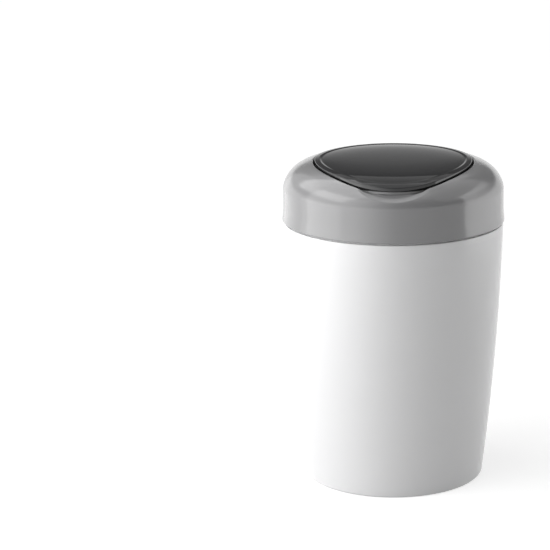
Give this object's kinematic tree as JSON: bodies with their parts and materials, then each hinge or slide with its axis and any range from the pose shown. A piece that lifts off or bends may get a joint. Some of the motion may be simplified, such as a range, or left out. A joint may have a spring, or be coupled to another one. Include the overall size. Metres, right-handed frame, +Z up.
{
  "type": "nappy bin",
  "caption": "Tapered round nappy bin with a domed grey cover, a smoked flip lid over a finger scoop, and a funnel that feeds nappies through a ring cassette of film.",
  "frame": {"origin": "centre of the foot ring, on the surface that the bin stands on", "axes": "+Z up along the bin's axis, -Y towards the front with the finger scoop, +X to the right as seen from behind the front"},
  "size_m": [0.2614, 0.2614, 0.3826],
  "materials": {
    "tub_white": "glossy white moulding",
    "holder_white": "satin white moulding",
    "cassette_plastic": "satin pale blue-grey moulding",
    "film": "thin translucent film",
    "cover_grey": "glossy mid-grey moulding",
    "lid_smoke": "glossy smoked black-grey moulding",
    "lid_liner": "satin black moulding",
    "seal_rubber": "soft black rubber",
    "pin_steel": "drawn steel rod"
  },
  "bodies": {
    "tub": {"tub": "tub_white"},
    "holder": {"cassette_holder": "holder_white"},
    "cassette": {"cassette_tub": "cassette_plastic", "cassette_ring": "cassette_plastic", "film_pack": "film", "film_sleeve": "film", "film_knot": "film"},
    "cover": {"cover": "cover_grey", "funnel": "cover_grey", "hinge_pin": "pin_steel"},
    "lid": {"lid_panel": "lid_smoke", "lid_liner": "lid_liner", "lid_outer_seal": "seal_rubber", "lid_inner_seal": "seal_rubber"}
  },
  "joints": [
    {"name": "cover_lift", "type": "slide", "parent": "tub", "child": "cover", "axis": [0, 0, 1], "range_m": [0, 0.2]},
    {"name": "holder_lift", "type": "slide", "parent": "tub", "child": "holder", "axis": [0, 0, 1], "range_m": [0, 0.06]},
    {"name": "cassette_lift", "type": "slide", "parent": "holder", "child": "cassette", "axis": [0, 0, 1], "range_m": [0, 0.06]},
    {"name": "lid_hinge", "type": "hinge", "parent": "cover", "child": "lid", "pos_m": [0, 0.1, 0.3725], "axis": [-1, 0, 0], "range_deg": [0, 100]}
  ],
  "couplings": [
    {"joint": "holder_lift", "follows": "cover_lift", "ratio": 0.3},
    {"joint": "cassette_lift", "follows": "cover_lift", "ratio": 0.3}
  ]
}
